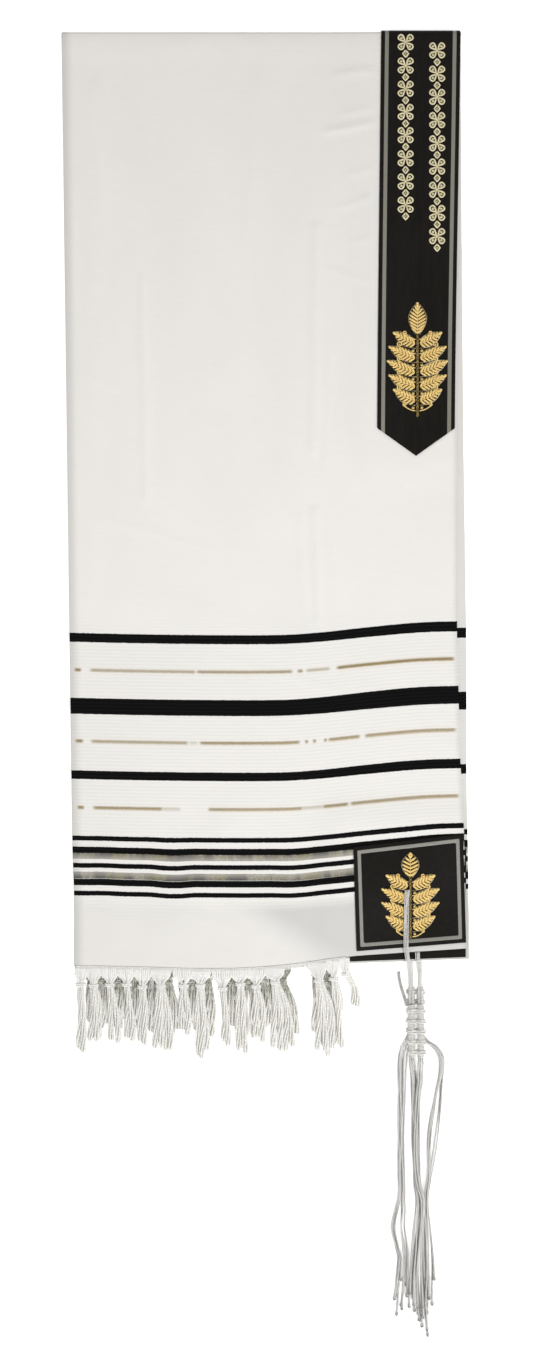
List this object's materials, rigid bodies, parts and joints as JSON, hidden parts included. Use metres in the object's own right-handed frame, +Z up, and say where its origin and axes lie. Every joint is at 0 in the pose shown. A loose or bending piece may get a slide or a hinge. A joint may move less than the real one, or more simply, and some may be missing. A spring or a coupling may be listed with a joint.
{
  "type": "folded tallit prayer shawl",
  "caption": "White prayer shawl folded lengthwise and crosswise, lying flat, with dark stripes, a satin neckband, corner patches, knotted fringe and corner tassels.",
  "frame": {"origin": "on the floor below the middle of the whole shawl's box, tassels included", "axes": "+Y from the tassels towards the top fold, +X from the left fold towards the neckband's side, +Z up off the surface it lies on"},
  "size_m": [0.3959, 1.2752, 0.0132],
  "materials": {
    "body_cloth": "matte woven cloth, off-white with black and gold stripes",
    "dark_satin": "black satin",
    "gold_thread": "metallic gold embroidery thread",
    "white_yarn": "soft white yarn"
  },
  "bodies": {
    "root": {"shawl_outer_half": "body_cloth", "shawl_inner_half": "body_cloth", "neckband": "dark_satin", "corner_patch_front": "dark_satin", "corner_patch_inner": "dark_satin", "corner_patch_back": "dark_satin", "neckband_emblem": "gold_thread", "corner_emblem": "gold_thread", "fringe_front": "white_yarn", "fringe_inner": "white_yarn", "fringe_back": "white_yarn", "tzitzit_front": "white_yarn", "tzitzit_inner_front": "white_yarn", "tzitzit_inner_back": "white_yarn", "tzitzit_back": "white_yarn"}
  },
  "joints": []
}
